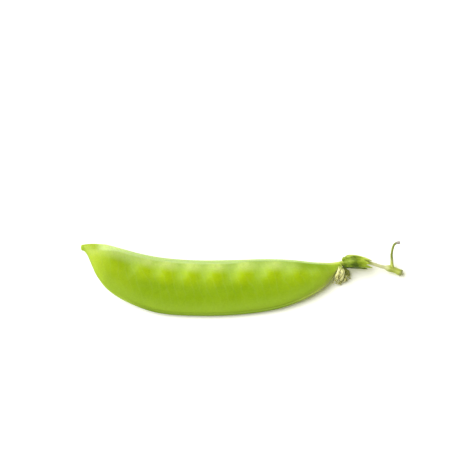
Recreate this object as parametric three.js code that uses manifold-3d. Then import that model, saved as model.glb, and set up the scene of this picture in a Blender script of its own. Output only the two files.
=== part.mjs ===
// A snow pea pod as picked: the flat fruit with its small seeds showing as a row of bulges, the calyx of five
// folded-back sepals, the withered stamens round the pod's neck, and the piece of stalk that it hung from.
//
// Millimetres. The pod lies on one broad side. +X runs from the beak to the cut end of the stalk, +Y towards
// the straight suture that bears the seeds, and +Z up. The whole group is set over the origin at the end.

import * as THREE from "three";
import { mergeVertices } from "three/addons/utils/BufferGeometryUtils.js";
import Module from "manifold-3d";

const wasm = await Module();
wasm.setup();

const { Vector2, Vector3 } = THREE;
const { clamp, degToRad, lerp, smoothstep } = THREE.MathUtils;

// ---- Driving dimensions ------------------------------------------------------------------------------------

// The pod's outline: where a chord across the pod meets the seed-bearing suture (first two numbers, x and y)
// and the rounded suture (last two), from the end of the neck to the tip of the beak.
const OUTLINE = [
  [34.1, 6.25, 34.25, 4.45],
  [32.6, 5.9, 33.1, 4.0],
  [30.95, 5.6, 31.95, 2.8],
  [28.95, 5.4, 30.7, 1.2],
  [26.3, 5.5, 29.2, -0.6],
  [22.3, 5.8, 26.6, -3.1],
  [15.95, 6.5, 20.75, -6.6],
  [7.3, 6.8, 11.3, -9.9],
  [-3.5, 6.5, -1.5, -11.7],
  [-14.9, 6.4, -15.4, -12.1],
  [-25.6, 7.1, -28.4, -11.1],
  [-33.8, 8.45, -38.1, -7.75],
  [-40.6, 10.2, -44.7, -3.75],
  [-45.2, 11.4, -48.4, 0.65],
  [-48.3, 11.65, -50.1, 4.05],
  [-50.7, 11.65, -51.6, 7.45],
  [-52.5, 11.45, -52.7, 9.0],
  [-53.4, 11.3, -53.4, 9.3],
];
const HALF_THICKNESS = 2.6; // of the pod's wall-to-wall lens, where the pod is widest
const THICKENING_WIDTH = 2.4; // half width over which the lens gains most of that thickness
const THICKER_SIDE = 0.15; // share by which the lens is thicker towards the seed-bearing suture
const BEAK_FLATNESS = 0.35; // share of its thickness that the beak loses
const REST_DEPTH = 0.2; // how far the underside is pressed flat where it lies on a surface

// The two sutures in section, as distance in from the edge and half thickness. The seed-bearing one is a
// double ridge with a groove between; the rounded one is a single cord. Full size on chords over
// SUTURE_FULL_WIDTH, and in proportion on narrower ones.
const SEED_SUTURE = [
  [0.2, 0],
  [0, 0.34],
  [0.22, 0.64],
  [0.58, 0.72],
  [0.92, 0.58],
  [1.25, 0.42],
  [1.75, 0.3],
];
const ROUND_SUTURE = [
  [0, 0],
  [0.1, 0.3],
  [0.38, 0.46],
  [0.72, 0.36],
  [1.05, 0.25],
];
const SUTURE_FULL_WIDTH = 7;

// Seeds, as x and relative size. A full-sized one lies SEED_DEPTH in from the seed-bearing suture.
const SEEDS = [
  [25.2, 0.5],
  [17.5, 0.8],
  [8.7, 1.0],
  [-0.6, 1.0],
  [-10.2, 1.0],
  [-18.3, 1.0],
  [-26.4, 0.95],
  [-33.7, 0.85],
  [-43.6, 0.55],
];
const SEED_DEPTH = 4.9;
const SEED_HEIGHT = { top: 1.0, underside: 0.65 }; // how far a full-sized seed raises the wall
const SEED_SPREAD = { along: 3.0, inwards: 3.2, outwards: 3.9 };

const BEAK_LIFT = { height: 2.3, start: -18, length: 35 }; // how far the two ends curve up off the surface,
const NECK_LIFT = { height: 1.5, start: 0, length: 34 }; // from which x, and over what length
const ROLL = 0.075; // rise per millimetre towards the seed-bearing suture

const GAP = 0.3; // kept between two pieces that touch

// ---- Closed surfaces ---------------------------------------------------------------------------------------

// A closed solid through rings that all have the same number of points, with its faces outwards. Each end is
// closed by a zigzag from side to side, which also suits a thin curved section.
function skin(rings) {
  const count = rings[0].length;
  const index = [];
  for (let i = 0; i + 1 < rings.length; i++) {
    for (let j = 0; j < count; j++) {
      const a = i * count + j;
      const b = i * count + ((j + 1) % count);
      index.push(a, a + count, b, b, a + count, b + count);
    }
  }
  const zigzag = [0];
  for (let j = 1; zigzag.length < count; j++) {
    zigzag.push(j);
    if (zigzag.length < count) zigzag.push(count - j);
  }
  const last = (rings.length - 1) * count;
  for (let k = 0; k + 2 < count; k++) {
    const [a, b, c] = zigzag.slice(k, k + 3);
    if (k % 2) index.push(a, c, b, last + a, last + b, last + c);
    else index.push(a, b, c, last + a, last + c, last + b);
  }
  const points = rings.flat();
  let volume = 0;
  for (let k = 0; k < index.length; k += 3) {
    const [a, b, c] = index.slice(k, k + 3).map((i) => points[i]);
    volume += a.dot(b.clone().cross(c));
  }
  if (volume < 0) index.reverse();
  const geometry = new THREE.BufferGeometry().setFromPoints(points);
  geometry.setIndex(index);
  return geometry;
}

function toSolid(geometry) {
  const bare = geometry.clone();
  bare.deleteAttribute("normal");
  bare.deleteAttribute("uv");
  const merged = mergeVertices(bare, 1e-4);
  return new wasm.Manifold(
    new wasm.Mesh({
      numProp: 3,
      vertProperties: merged.attributes.position.array,
      triVerts: new Uint32Array(merged.index.array),
    }),
  );
}

const largestBody = (solid) =>
  solid.decompose().reduce((largest, body) => (body.volume() > largest.volume() ? body : largest));

function toGeometry(solid) {
  const mesh = solid.getMesh();
  const geometry = new THREE.BufferGeometry();
  geometry.setAttribute("position", new THREE.BufferAttribute(mesh.vertProperties, 3));
  geometry.setIndex(new THREE.BufferAttribute(mesh.triVerts, 1));
  return geometry;
}

// Several overlapping closed geometries as one. A pocket that they shut in between them is filled, and a
// sliver that only touches the rest is dropped.
function fuse(geometries) {
  const joined = geometries.map(toSolid).reduce((all, next) => all.add(next));
  const outside = partFolds(toGeometry(largestBody(joined.simplify(0.02))));
  return toGeometry(largestBody(toSolid(outside)));
}

// Where two folds of a surface touch at a point without being joined there, each draws back by a hair towards
// its own neighbours, so that they stay two folds.
const TOUCHING = 0.004;
const DRAW_BACK = 0.02;

function partFolds(geometry) {
  const position = geometry.getAttribute("position");
  const index = geometry.getIndex();
  const points = Array.from({ length: position.count }, (_, i) => new Vector3().fromBufferAttribute(position, i));
  const neighbours = points.map(() => new Set());
  for (let k = 0; k < index.count; k += 3) {
    const corners = [0, 1, 2].map((c) => index.getX(k + c));
    corners.forEach((a, c) => {
      neighbours[a].add(corners[(c + 1) % 3]);
      neighbours[a].add(corners[(c + 2) % 3]);
    });
  }
  const touching = new Set();
  points.forEach((point, i) => {
    for (let j = i + 1; j < points.length; j++) {
      if (point.distanceToSquared(points[j]) > TOUCHING ** 2 || neighbours[i].has(j)) continue;
      touching.add(i).add(j);
    }
  });
  for (const i of touching) {
    const middle = new Vector3();
    for (const j of neighbours[i]) middle.addScaledVector(points[j], 1 / neighbours[i].size);
    const drawn = points[i].clone().addScaledVector(middle.sub(points[i]).normalize(), DRAW_BACK);
    position.setXYZ(i, drawn.x, drawn.y, drawn.z);
  }
  return geometry;
}

const toVectors = (points) => points.map((p) => new Vector3(...p));

// A round tube of changing radius along a smooth path. radii are spread evenly along it.
function taperedTube(points, radii, sides, steps) {
  const path = new THREE.CatmullRomCurve3(points, false, "centripetal");
  const frames = path.computeFrenetFrames(steps, false);
  return skin(
    Array.from({ length: steps + 1 }, (_, i) => {
      const centre = path.getPointAt(i / steps);
      const place = (i / steps) * (radii.length - 1);
      const k = Math.min(Math.floor(place), radii.length - 2);
      const radius = lerp(radii[k], radii[k + 1], smoothstep(place, k, k + 1));
      return Array.from({ length: sides }, (_, j) => {
        const angle = (2 * Math.PI * j) / sides;
        return centre
          .clone()
          .addScaledVector(frames.normals[i], radius * Math.cos(angle))
          .addScaledVector(frames.binormals[i], radius * Math.sin(angle));
      });
    }),
  );
}

// ---- Pod ---------------------------------------------------------------------------------------------------

const POD_STEPS = 85;
const WALL_POINTS = 8; // across each face, between the two sutures

const outlineCurve = (points) => new THREE.CatmullRomCurve3(toVectors(points), false, "catmullrom");
const seedEdge = outlineCurve(OUTLINE.map(([x, y]) => [x, y, 0]));
const roundEdge = outlineCurve(OUTLINE.map(([, , x, y]) => [x, y, 0]));

// How far the seeds raise the wall, at x and at a distance in from the seed-bearing suture.
function seedRelief(x, inset) {
  return SEEDS.reduce((sum, [seedX, size]) => {
    const away = inset - SEED_DEPTH * (0.6 + 0.4 * size);
    const spread = away > 0 ? SEED_SPREAD.inwards : SEED_SPREAD.outwards;
    return sum + size * Math.exp(-(((x - seedX) / SEED_SPREAD.along) ** 2) - (away / spread) ** 2);
  }, 0);
}

// The pod's height above its own lowest plane: both ends curve up, and it leans a little on its rounded side.
function lie(x, y) {
  const toBeak = Math.max(0, BEAK_LIFT.start - x) / BEAK_LIFT.length;
  const toNeck = Math.max(0, x - NECK_LIFT.start) / NECK_LIFT.length;
  return BEAK_LIFT.height * toBeak ** 2 + NECK_LIFT.height * toNeck ** 2 + ROLL * y;
}

// One face's profile across a chord of that width: distances in from the seed-bearing suture, each with the
// half thickness there.
function facePoints(width, share) {
  const scale = Math.min(1, width / SUTURE_FULL_WIDTH);
  const first = SEED_SUTURE.map(([inset, half]) => [inset * scale, half * scale]);
  const last = ROUND_SUTURE.map(([inset, half]) => [width - inset * scale, half * scale]).reverse();
  const start = first.at(-1)[0];
  const end = last[0][0];
  const wall = Array.from({ length: WALL_POINTS }, (_, k) => [
    lerp(start, end, (k + 1) / (WALL_POINTS + 1)),
    0,
  ]);
  const grown = 1 - Math.exp(-width / 2 / THICKENING_WIDTH);
  const sharpness = 0.5 + 0.45 * grown ** 3;
  const flatness = 1 - BEAK_FLATNESS * smoothstep(share, 0.82, 0.97);
  return [...first, ...wall, ...last].map(([inset, ridge]) => {
    const across = clamp(1 - (2 * inset) / width, -1, 1);
    const lens = (1 - across ** 2) ** sharpness * (1 + THICKER_SIDE * across);
    return [inset, across, Math.max(ridge, HALF_THICKNESS * grown * flatness * lens)];
  });
}

// One section of the pod. share runs from 0 at the neck to 1 at the beak; shrink and push round off an end.
function podRing(share, shrink = 1, push = 0) {
  const from = seedEdge.getPoint(share);
  const to = roundEdge.getPoint(share);
  const width = from.distanceTo(to);
  const inwards = to.clone().sub(from).normalize();
  const centre = from.clone().lerp(to, 0.5);
  centre.addScaledVector(new Vector3(inwards.y, -inwards.x, 0), push);
  const face = facePoints(width, share);
  const faceRing = (points, side, height) =>
    points.map(([inset, across, half], k) => {
      const point = centre.clone().addScaledVector(inwards, (inset - width / 2) * shrink);
      const seed = height * seedRelief(point.x, inset) * (1 - across ** 4);
      const edge = side === 0 ? 0 : half;
      point.z = shrink * (side * (edge + seed)) + lie(point.x, point.y);
      return point;
    });
  const edges = [face[0], face.at(-1)];
  return [
    ...faceRing([edges[0]], 0, 0),
    ...faceRing(face.slice(1, -1), 1, SEED_HEIGHT.top),
    ...faceRing([edges[1]], 0, 0),
    ...faceRing(face.slice(1, -1).reverse(), -1, SEED_HEIGHT.underside),
  ];
}

const podRings = Array.from({ length: POD_STEPS + 1 }, (_, i) => podRing(i / POD_STEPS));
podRings.push(podRing(1, 0.82, 0.3), podRing(1, 0.45, 0.5));

// The pod is set down so that its lowest points are pressed flat against the surface.
const lowest = Math.min(...podRings.flat().map((point) => point.z));
for (const point of podRings.flat()) point.z = Math.max(0, point.z - lowest - REST_DEPTH);

const neckEnd = podRings[0].reduce((sum, point) => sum.add(point), new Vector3());
neckEnd.divideScalar(podRings[0].length);

// ---- Calyx -------------------------------------------------------------------------------------------------

// In its own frame: the axis runs along +X from the neck's end towards the stalk, and +Y faces the side of
// the seed-bearing suture. The axis bends away from that side as it goes. A bell-shaped cup whose open mouth
// takes the neck.
const CALYX_TURN = degToRad(14);
const CALYX_BEND = 0.042; // per mm, times the square of the distance past the neck
const CUP_PROFILE = [
  [0, GAP],
  [1.2, GAP],
  [1.2, -0.6],
  [1.4, -0.7],
  [1.55, -0.1],
  [1.7, 0.9],
  [1.7, 2.2],
  [1.3, 3.6],
  [0.75, 4.7],
  [0, 4.9],
];

// Sepals, each as its angle round the axis from +Y, its length, half its width, how far it stands off the
// axis at its middle and at its tip, and how far its tip strays sideways.
const SEPALS = [
  { angle: 38, length: 9.3, halfWidth: 1.75, middle: 2.38, tip: 1.9, stray: 0.0 },
  { angle: 91, length: 8.6, halfWidth: 2.0, middle: 2.35, tip: 1.5, stray: 0.2 },
  { angle: 143, length: 8.9, halfWidth: 1.5, middle: 2.05, tip: 1.5, stray: -0.3 },
  { angle: 222, length: 7.4, halfWidth: 1.3, middle: 2.05, tip: 1.9, stray: -0.4 },
  { angle: 300, length: 7.6, halfWidth: 1.6, middle: 2.15, tip: 2.1, stray: 0.3 },
];
const SEPAL_THICKNESS = 0.6;
const MIDRIB_HEIGHT = 0.16;
const SEPAL_STEPS = 14;
const SEPAL_SIDES = 12;

// A sepal: a thin pointed blade that leaves the cup's rim, turns back over it and runs towards the stalk.
function sepal({ angle, length, halfWidth, middle, tip, stray }) {
  const spine = new THREE.CatmullRomCurve3([
    new Vector3(0.3, 1.55, 0),
    new Vector3(-0.55, 1.56, 0),
    new Vector3(0.6, middle - 0.6, 0),
    new Vector3(length * 0.4, middle, stray * 0.3),
    new Vector3(length * 0.93, tip, stray),
  ]);
  const rings = Array.from({ length: SEPAL_STEPS + 1 }, (_, i) => {
    const s = i / SEPAL_STEPS;
    const centre = spine.getPoint(s);
    const forward = spine.getTangent(s);
    const side = new Vector3(0, 0, 1).addScaledVector(forward, -forward.z).normalize();
    const out = side.clone().cross(forward).normalize();
    const toTip = Math.cos((Math.PI / 2) * Math.max(0, (s - 0.6) / 0.4)) ** 0.8;
    const width = halfWidth * (0.5 + 0.5 * smoothstep(s, 0.15, 0.65)) * Math.max(0.08, toTip);
    return Array.from({ length: SEPAL_SIDES }, (_, j) => {
      const turn = (2 * Math.PI * j) / SEPAL_SIDES;
      const across = Math.cos(turn);
      const up = Math.sign(Math.round(Math.sin(turn) * 1e6)) * Math.abs(Math.sin(turn)) ** 0.6;
      const midrib = up > 0 ? MIDRIB_HEIGHT * Math.exp(-((across / 0.3) ** 2)) : 0;
      const thick = (SEPAL_THICKNESS / 2) * up * Math.min(1, 0.5 + 1.2 * width) + midrib;
      const cupped = -0.3 * width * across ** 2;
      const wave = 0.14 * width * across * Math.sin(9 * s + angle);
      return centre
        .clone()
        .addScaledVector(side, width * across)
        .addScaledVector(out, thick + cupped + wave);
    });
  });
  return skin(rings).rotateX(degToRad(angle));
}

const cup = new THREE.LatheGeometry(
  CUP_PROFILE.map(([radius, x]) => new Vector2(radius, x)),
  24,
).rotateZ(-Math.PI / 2);
const calyxGeometry = fuse([cup, ...SEPALS.map(sepal)]);
const calyxPoints = calyxGeometry.getAttribute("position");
for (let i = 0; i < calyxPoints.count; i++) {
  const past = Math.max(0, calyxPoints.getX(i));
  calyxPoints.setY(i, calyxPoints.getY(i) - CALYX_BEND * past ** 2);
}

// ---- Stalk -------------------------------------------------------------------------------------------------

// Paths start at the calyx and at the joint. Heights are over the surface.
const PEDICEL = [
  [39.3, 6.1, 4.6],
  [41.1, 5.9, 4.65],
  [42.95, 5.25, 4.4],
  [45.7, 4.5, 3.5],
  [47.95, 4.1, 2.7],
  [50.05, 3.65, 2.2],
  [51.9, 2.95, 1.75],
  [53.3, 2.35, 1.45],
];
const PEDICEL_RADII = [0.78, 0.62, 0.55, 0.52, 0.6, 1.12, 0.95, 1.1];
const SECOND_STALK = [
  [50.1, 3.75, 2.4],
  [50.0, 6.2, 3.3],
  [49.9, 8.6, 4.1],
  [50.5, 11.1, 4.6],
  [51.4, 12.0, 4.7],
  [52.6, 12.3, 4.6],
];
const SECOND_STALK_RADII = [0.75, 0.48, 0.4, 0.38, 0.4, 0.55];

const stalkGeometry = fuse([
  taperedTube(toVectors(PEDICEL), PEDICEL_RADII, 12, 44),
  taperedTube(toVectors(SECOND_STALK), SECOND_STALK_RADII, 8, 22),
]);

// ---- Withered stamens --------------------------------------------------------------------------------------

// A papery band round the neck, split open on the side of the seed-bearing suture, the torn strips of sheath
// that hang from it beside the pod's base, and the free ends of the filaments, each with what is left of its
// anther.
const BAND = { inner: 1.45, outer: 2.05, from: -2.1, to: -1.35, turn: degToRad(21) };
const BAND_START = degToRad(62); // round the neck from +Y
const BAND_END = degToRad(305);
const BAND_STEPS = 16;
const PAPER_THICKNESS = 0.6;
const FILAMENT_RADIUS = 0.3;
const ANTHER_RADIUS = 0.38;

// Strips: where each starts, passes and ends, and its half width at both ends.
const STRIPS = [
  { path: [[32.2, 4.0, 6.0], [31.6, 2.9, 6.2], [30.8, 1.5, 5.8], [30.2, 0.3, 5.1]], width: [0.7, 0.6] },
  { path: [[32.5, 3.2, 5.3], [33.0, 2.1, 4.9], [32.6, 0.9, 3.9], [31.9, -0.2, 2.9]], width: [0.7, 0.65] },
  { path: [[32.7, 2.9, 4.4], [33.4, 1.9, 3.7], [34.1, 0.8, 2.6], [33.9, -0.3, 1.5]], width: [0.7, 0.7] },
  { path: [[32.7, 3.05, 3.75], [33.5, 1.9, 3.0], [34.8, 1.1, 2.1], [36.3, 0.7, 1.4]], width: [0.6, 0.6] },
];

// Filaments: where each starts, bends and ends.
const FILAMENTS = [
  [[32.2, 3.7, 6.0], [32.0, 2.1, 5.7], [31.4, -0.1, 4.5]],
  [[32.4, 3.3, 5.4], [32.5, 1.5, 4.7], [31.6, -0.2, 2.8]],
  [[32.5, 3.1, 5.0], [33.2, 1.3, 4.3], [33.0, -0.4, 2.4]],
  [[32.6, 3.0, 4.6], [33.8, 1.4, 3.9], [34.9, -0.1, 2.6]],
  [[32.6, 3.0, 4.0], [33.9, 1.4, 3.0], [35.1, -0.2, 1.1]],
  [[32.7, 3.1, 3.8], [34.2, 1.7, 3.4], [36.2, 0.3, 2.2]],
  [[32.6, 3.1, 4.0], [33.2, 1.0, 2.7], [32.6, -0.5, 1.0]],
  [[32.5, 3.4, 5.5], [33.5, 1.9, 5.1], [35.2, 0.8, 4.0]],
];

// A flat section carried round the neck from one edge of the split to the other.
const band = skin(
  Array.from({ length: BAND_STEPS + 1 }, (_, i) => {
    const angle = lerp(BAND_START, BAND_END, i / BAND_STEPS);
    const corner = (x, radius) => new Vector3(x, radius * Math.cos(angle), radius * Math.sin(angle));
    return [
      corner(BAND.to, BAND.inner),
      corner(BAND.from, BAND.inner),
      corner(BAND.from, BAND.outer),
      corner(BAND.to, BAND.outer),
    ];
  }),
)
  .rotateZ(BAND.turn)
  .translate(neckEnd.x, neckEnd.y, neckEnd.z);

// A crumpled strip of papery sheath along a smooth path. It lies flat to the light and curls as it goes.
function strip({ path, width }, order) {
  const spine = new THREE.CatmullRomCurve3(toVectors(path));
  const steps = 8;
  const sides = 10;
  return skin(
    Array.from({ length: steps + 1 }, (_, i) => {
      const s = i / steps;
      const forward = spine.getTangent(s);
      const level = new Vector3(0, 0, 1).cross(forward).normalize();
      const side = level.applyAxisAngle(forward, 0.5 * Math.sin(2.4 * order + 3 * s));
      const out = forward.clone().cross(side).normalize();
      const halfWidth = lerp(width[0], width[1], s) * (1 - 0.35 * smoothstep(s, 0.8, 1));
      return Array.from({ length: sides }, (_, j) => {
        const turn = (2 * Math.PI * j) / sides;
        const across = Math.cos(turn);
        const fold = 0.16 * Math.sin(2.5 * across + 5 * s + order);
        return spine
          .getPoint(s)
          .addScaledVector(side, halfWidth * across)
          .addScaledVector(out, (PAPER_THICKNESS / 2) * Math.sin(turn) + fold);
      });
    }),
  );
}

function filament(points) {
  const [end] = points.slice(-1);
  return [
    taperedTube(toVectors(points), [FILAMENT_RADIUS, FILAMENT_RADIUS], 6, 6),
    new THREE.SphereGeometry(ANTHER_RADIUS, 8, 6).rotateX(0.3).translate(...end),
  ];
}

const stamensGeometry = fuse([band, ...STRIPS.map(strip), ...FILAMENTS.flatMap(filament)]);

// ---- Assembly ----------------------------------------------------------------------------------------------

function piece(name, geometry, color, roughness) {
  const mesh = new THREE.Mesh(geometry, new THREE.MeshStandardMaterial({ color, roughness, metalness: 0 }));
  mesh.name = name;
  return mesh;
}

const part = new THREE.Group();
const calyx = piece("calyx", calyxGeometry, 0x6f9a2c, 0.6);
calyx.position.copy(neckEnd);
calyx.rotation.z = CALYX_TURN;
part.add(
  piece("pod", skin(podRings), 0x96b830, 0.45),
  calyx,
  piece("stalk", stalkGeometry, 0xb2c656, 0.55),
  piece("withered_stamens", stamensGeometry, 0xd6d2a0, 0.9),
);

const box = new THREE.Box3().setFromObject(part);
part.position.set(-(box.min.x + box.max.x) / 2, -(box.min.y + box.max.y) / 2, 0);

export default part;
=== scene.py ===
"""A snow pea pod lying on a white studio floor.

Four pieces stand for the four solids of the frame, each worked out again as a finer surface of the same
form: the pod with its two sutures, seed bulges and veins, the calyx with its five folded-back sepals, the
stalk with its joint and second flower stalk, and the withered stamens round the pod's neck.

Shapes are worked out in millimetres, in the maker's own layout, and set into the frame as metres at the end.
"""

import math

import bpy
import numpy as np
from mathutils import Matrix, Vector


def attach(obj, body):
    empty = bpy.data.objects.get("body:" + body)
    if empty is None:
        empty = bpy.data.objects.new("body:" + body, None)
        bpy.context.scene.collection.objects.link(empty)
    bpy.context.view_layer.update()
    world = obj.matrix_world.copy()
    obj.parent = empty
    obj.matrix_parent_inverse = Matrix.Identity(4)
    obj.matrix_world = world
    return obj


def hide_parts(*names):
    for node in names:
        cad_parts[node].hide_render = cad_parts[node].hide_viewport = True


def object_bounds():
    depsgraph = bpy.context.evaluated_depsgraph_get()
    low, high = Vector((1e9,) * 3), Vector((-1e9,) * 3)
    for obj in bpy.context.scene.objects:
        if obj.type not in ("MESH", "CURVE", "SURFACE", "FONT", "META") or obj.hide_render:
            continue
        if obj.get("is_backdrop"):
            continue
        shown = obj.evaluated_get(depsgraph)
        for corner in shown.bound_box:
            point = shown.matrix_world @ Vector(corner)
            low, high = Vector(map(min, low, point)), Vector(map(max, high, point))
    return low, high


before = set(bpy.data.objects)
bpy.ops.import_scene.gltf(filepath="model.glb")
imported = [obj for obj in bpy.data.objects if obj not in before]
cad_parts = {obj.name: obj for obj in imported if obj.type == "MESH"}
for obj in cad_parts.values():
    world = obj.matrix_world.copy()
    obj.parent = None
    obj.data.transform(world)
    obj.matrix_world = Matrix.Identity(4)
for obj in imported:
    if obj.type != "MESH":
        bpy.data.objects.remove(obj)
cad_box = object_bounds()

MM = 0.001
SHIFT = np.array([0.0633, -0.3495, 0.0])  # where the maker's layout starts in the part's frame, in mm

# ---- Sizes of the pod ----

# Where a chord across the pod meets the seed-bearing suture (x, y) and the rounded one (x, y), neck to beak.
OUTLINE = np.array(
    [
        [34.1, 6.25, 34.25, 4.45],
        [32.6, 5.9, 33.1, 4.0],
        [30.95, 5.6, 31.95, 2.8],
        [28.95, 5.4, 30.7, 1.2],
        [26.3, 5.5, 29.2, -0.6],
        [22.3, 5.8, 26.6, -3.1],
        [15.95, 6.5, 20.75, -6.6],
        [7.3, 6.8, 11.3, -9.9],
        [-3.5, 6.5, -1.5, -11.7],
        [-14.9, 6.4, -15.4, -12.1],
        [-25.6, 7.1, -28.4, -11.1],
        [-33.8, 8.45, -38.1, -7.75],
        [-40.6, 10.2, -44.7, -3.75],
        [-45.2, 11.4, -48.4, 0.65],
        [-48.3, 11.65, -50.1, 4.05],
        [-50.7, 11.65, -51.6, 7.45],
        [-52.5, 11.45, -52.7, 9.0],
        [-53.4, 11.3, -53.4, 9.3],
    ]
)
HALF_THICKNESS = 2.6  # of the lens under the seeds' swellings
THICKENING_WIDTH = 2.4  # half width over which the ends thicken
THICKER_SIDE = 0.15  # how much thicker the lens is at its seed-bearing side
BEAK_FLATNESS = 0.35
BEAK_ROUNDING = 0.55  # how far the round of the beak's end stands past the last chord
REST_DEPTH = 0.2  # how much of the underside is pressed flat

# Sutures in section: distance in from the edge, half thickness.
SEED_SUTURE = np.array(
    [[0.2, 0], [0, 0.34], [0.22, 0.64], [0.58, 0.72], [0.92, 0.58], [1.25, 0.42], [1.75, 0.3]]
)
SEED_SUTURE_CREST = 3
ROUND_SUTURE = np.array([[0, 0], [0.1, 0.3], [0.38, 0.46], [0.72, 0.36], [1.05, 0.25]])
ROUND_SUTURE_CREST = 2
SUTURE_FULL_WIDTH = 7.0  # on narrower chords both sutures shrink with the chord

# Seeds: x, relative size, and how strongly each one shows yellow through the wall.
SEEDS = np.array(
    [
        [25.2, 0.5, 0.2],
        [17.5, 0.8, 0.5],
        [8.7, 1.0, 0.8],
        [-0.6, 1.0, 1.0],
        [-10.2, 1.0, 1.0],
        [-18.3, 1.0, 1.0],
        [-26.4, 0.95, 1.0],
        [-33.7, 0.85, 0.8],
        [-43.6, 0.55, 0.45],
    ]
)
SEED_DEPTH = 4.9
SEED_HEIGHT_TOP = 1.0
SEED_HEIGHT_UNDER = 0.65
SEED_SPREAD_ALONG = 3.0
SEED_SPREAD_INWARDS = 3.2
SEED_SPREAD_OUTWARDS = 3.9

BEAK_LIFT = (2.3, -18.0, 35.0)  # height, start and length of the curve that lifts each end off the floor
NECK_LIFT = (1.5, 0.0, 34.0)
ROLL = 0.075  # rise per mm towards the seed-bearing suture

# ---- Making meshes ----


def smooth_curve(points, t):
    """Uniform Catmull-Rom curve through points (n, k), at parameters t in 0..1: cubic pieces whose slope at
    each point is half the step between its two neighbours."""
    points = np.asarray(points, float)
    ghosts = np.vstack([2 * points[0] - points[1], points, 2 * points[-1] - points[-2]])
    place = np.clip(t, 0, 1) * (len(points) - 1)
    i = np.minimum(place.astype(int), len(points) - 2)
    w = (place - i)[:, None]
    a, b, c, d = (ghosts[i + k] for k in range(4))
    return b + 0.5 * w * ((c - a) + w * ((2 * a - 5 * b + 4 * c - d) + w * (3 * (b - c) + d - a)))


def run_along(points):
    """The length run from the first point of a path to each of its points."""
    return np.concatenate([[0], np.cumsum(np.linalg.norm(np.diff(points, axis=0), axis=1))])


def even_path(points, count):
    """count points evenly spaced along the smooth curve through points."""
    fine = smooth_curve(points, np.linspace(0, 1, 400))
    length = run_along(fine)
    wanted = np.linspace(0, length[-1], count)
    return np.stack([np.interp(wanted, length, fine[:, k]) for k in range(3)], -1)


def unit(vectors):
    """Vectors divided by their own lengths."""
    return vectors / np.linalg.norm(vectors, axis=-1, keepdims=True)


def path_frames(path):
    """Unit tangents of a path (n, 3), and two directions across it: side, which is level, and over."""
    forward = unit(np.gradient(path, axis=0))
    side = unit(np.cross(np.array([0.0, 0.0, 1.0]), forward))
    return forward, side, np.cross(forward, side)


def full_turn(count):
    """Angles evenly spaced round a circle, as one row (1, count)."""
    return np.linspace(0, 2 * math.pi, count, endpoint=False)[None]


def carried(path, side, out, across, height):
    """A section carried along a path: path plus across (n, m) times side, plus height (n, m) times out."""
    return path[:, None] + side[:, None] * across[..., None] + out[:, None] * height[..., None]


def smoothstep(x, low, high):
    """0 below low, 1 above high, and 3t^2 - 2t^3 between."""
    t = np.clip((x - low) / (high - low), 0, 1)
    return t * t * (3 - 2 * t)


def bell(x, width):
    """exp(-(x / width)^2): 1 at zero and 0.37 one width away."""
    return np.exp(-((x / width) ** 2))


def soft_maximum(a, b, blend):
    """The larger of a and b, rounded where they cross: (a + b + sqrt((a - b)^2 + blend^2)) / 2."""
    return 0.5 * (a + b + np.sqrt((a - b) ** 2 + blend**2))


def value_noise(x, y, seed):
    """Smooth noise in -1..1: random numbers on a 64 by 64 lattice, joined by quintic steps along x and y."""
    lattice = np.random.default_rng(seed).uniform(-1, 1, (64, 64))
    i, j = np.floor(x).astype(int), np.floor(y).astype(int)
    u, v = x - i, y - j
    u, v = (w**3 * (w * (6 * w - 15) + 10) for w in (u, v))
    corner = lambda di, dj: lattice[(i + di) % 64, (j + dj) % 64]
    low = corner(0, 0) * (1 - u) + corner(1, 0) * u
    high = corner(0, 1) * (1 - u) + corner(1, 1) * u
    return low * (1 - v) + high * v


class Shell:
    """Closed surfaces gathered into one mesh, with named values at their vertices."""

    def __init__(self):
        self.points, self.faces, self.values, self.count = [], [], {}, 0

    def loft(self, rings, **values):
        """rings (n, m, 3): n closed rings of m points, joined by quads and closed at both ends by a fan round
        the end ring's middle. Each value is one number or an array that spreads over (n, m)."""
        n, m, _ = rings.shape
        i, j = np.meshgrid(np.arange(n - 1), np.arange(m), indexing="ij")
        a, b = i * m + j, i * m + (j + 1) % m
        quads = np.stack([a, b, b + m, a + m], -1).reshape(-1, 4)
        j = np.arange(m)
        k = (j + 1) % m
        start = np.stack([k, j, np.full(m, n * m)], -1)
        end = np.stack([(n - 1) * m + j, (n - 1) * m + k, np.full(m, n * m + 1)], -1)
        points = np.vstack([rings.reshape(-1, 3), rings[0].mean(0), rings[-1].mean(0)])
        fan = np.vstack([start, end])
        p, q, r = (points[np.vstack([quads[:, :3], quads[:, [0, 2, 3]], fan])[:, k]] for k in range(3))
        if np.einsum("ij,ij->", p, np.cross(q, r)) < 0:
            quads, fan = quads[:, ::-1], fan[:, ::-1]
        self.points.append(points)
        self.faces += (quads + self.count).tolist() + (fan + self.count).tolist()
        for name, value in values.items():
            grid = np.broadcast_to(value, (n, m)).astype(float)
            column = np.concatenate([grid.ravel(), [grid[0].mean(), grid[-1].mean()]])
            self.values.setdefault(name, []).append(column)
        self.count += len(points)

    def build(self, name, material, node, slot):
        """The mesh as a piece of the frame that stands for that node."""
        mesh = bpy.data.meshes.new(name)
        mesh.from_pydata(((np.vstack(self.points) + SHIFT) * MM).tolist(), [], self.faces)
        for key, columns in self.values.items():
            attribute = mesh.attributes.new(key, "FLOAT", "POINT")
            attribute.data.foreach_set("value", np.concatenate(columns))
        mesh.shade_smooth()
        mesh.materials.append(material)
        piece = bpy.data.objects.new(name, mesh)
        bpy.context.scene.collection.objects.link(piece)
        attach(piece, "root")
        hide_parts(node)
        return piece


# ---- Pod ----

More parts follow.
